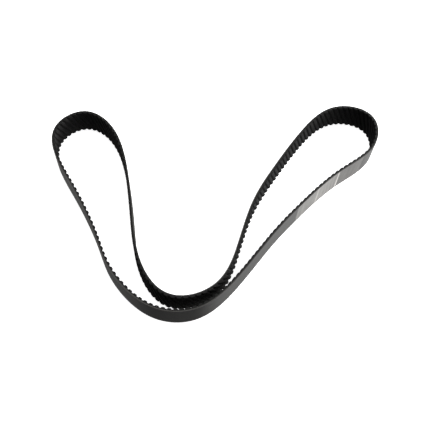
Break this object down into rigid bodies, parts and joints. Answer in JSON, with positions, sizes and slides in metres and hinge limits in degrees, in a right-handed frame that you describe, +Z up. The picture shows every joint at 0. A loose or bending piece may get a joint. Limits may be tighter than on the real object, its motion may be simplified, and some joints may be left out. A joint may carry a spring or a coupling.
{
  "type": "timing belt",
  "caption": "Endless black timing belt with slanted teeth inside, standing on its cut edge in a loose V-shaped loop; drives toothed pulleys.",
  "frame": {"origin": "centre of the loop's outline, on the surface that the lower cut edge stands on", "axes": "+X along the loop's longest extent, from the left lobe to the right lobe; +Z up across the belt's width"},
  "size_m": [0.2868, 0.2082, 0.025],
  "materials": {
    "backing_rubber": "smooth ground rubber with a soft sheen",
    "tensile_cord": "twisted glass fibre cord",
    "tooth_rubber": "matt moulded rubber",
    "tooth_facing": "matt black woven nylon"
  },
  "bodies": {
    "root": {"backing_rubber": "backing_rubber", "tensile_cord_s": "tensile_cord", "tensile_cord_z": "tensile_cord", "tooth_rubber": "tooth_rubber", "tooth_facing": "tooth_facing"}
  },
  "joints": []
}
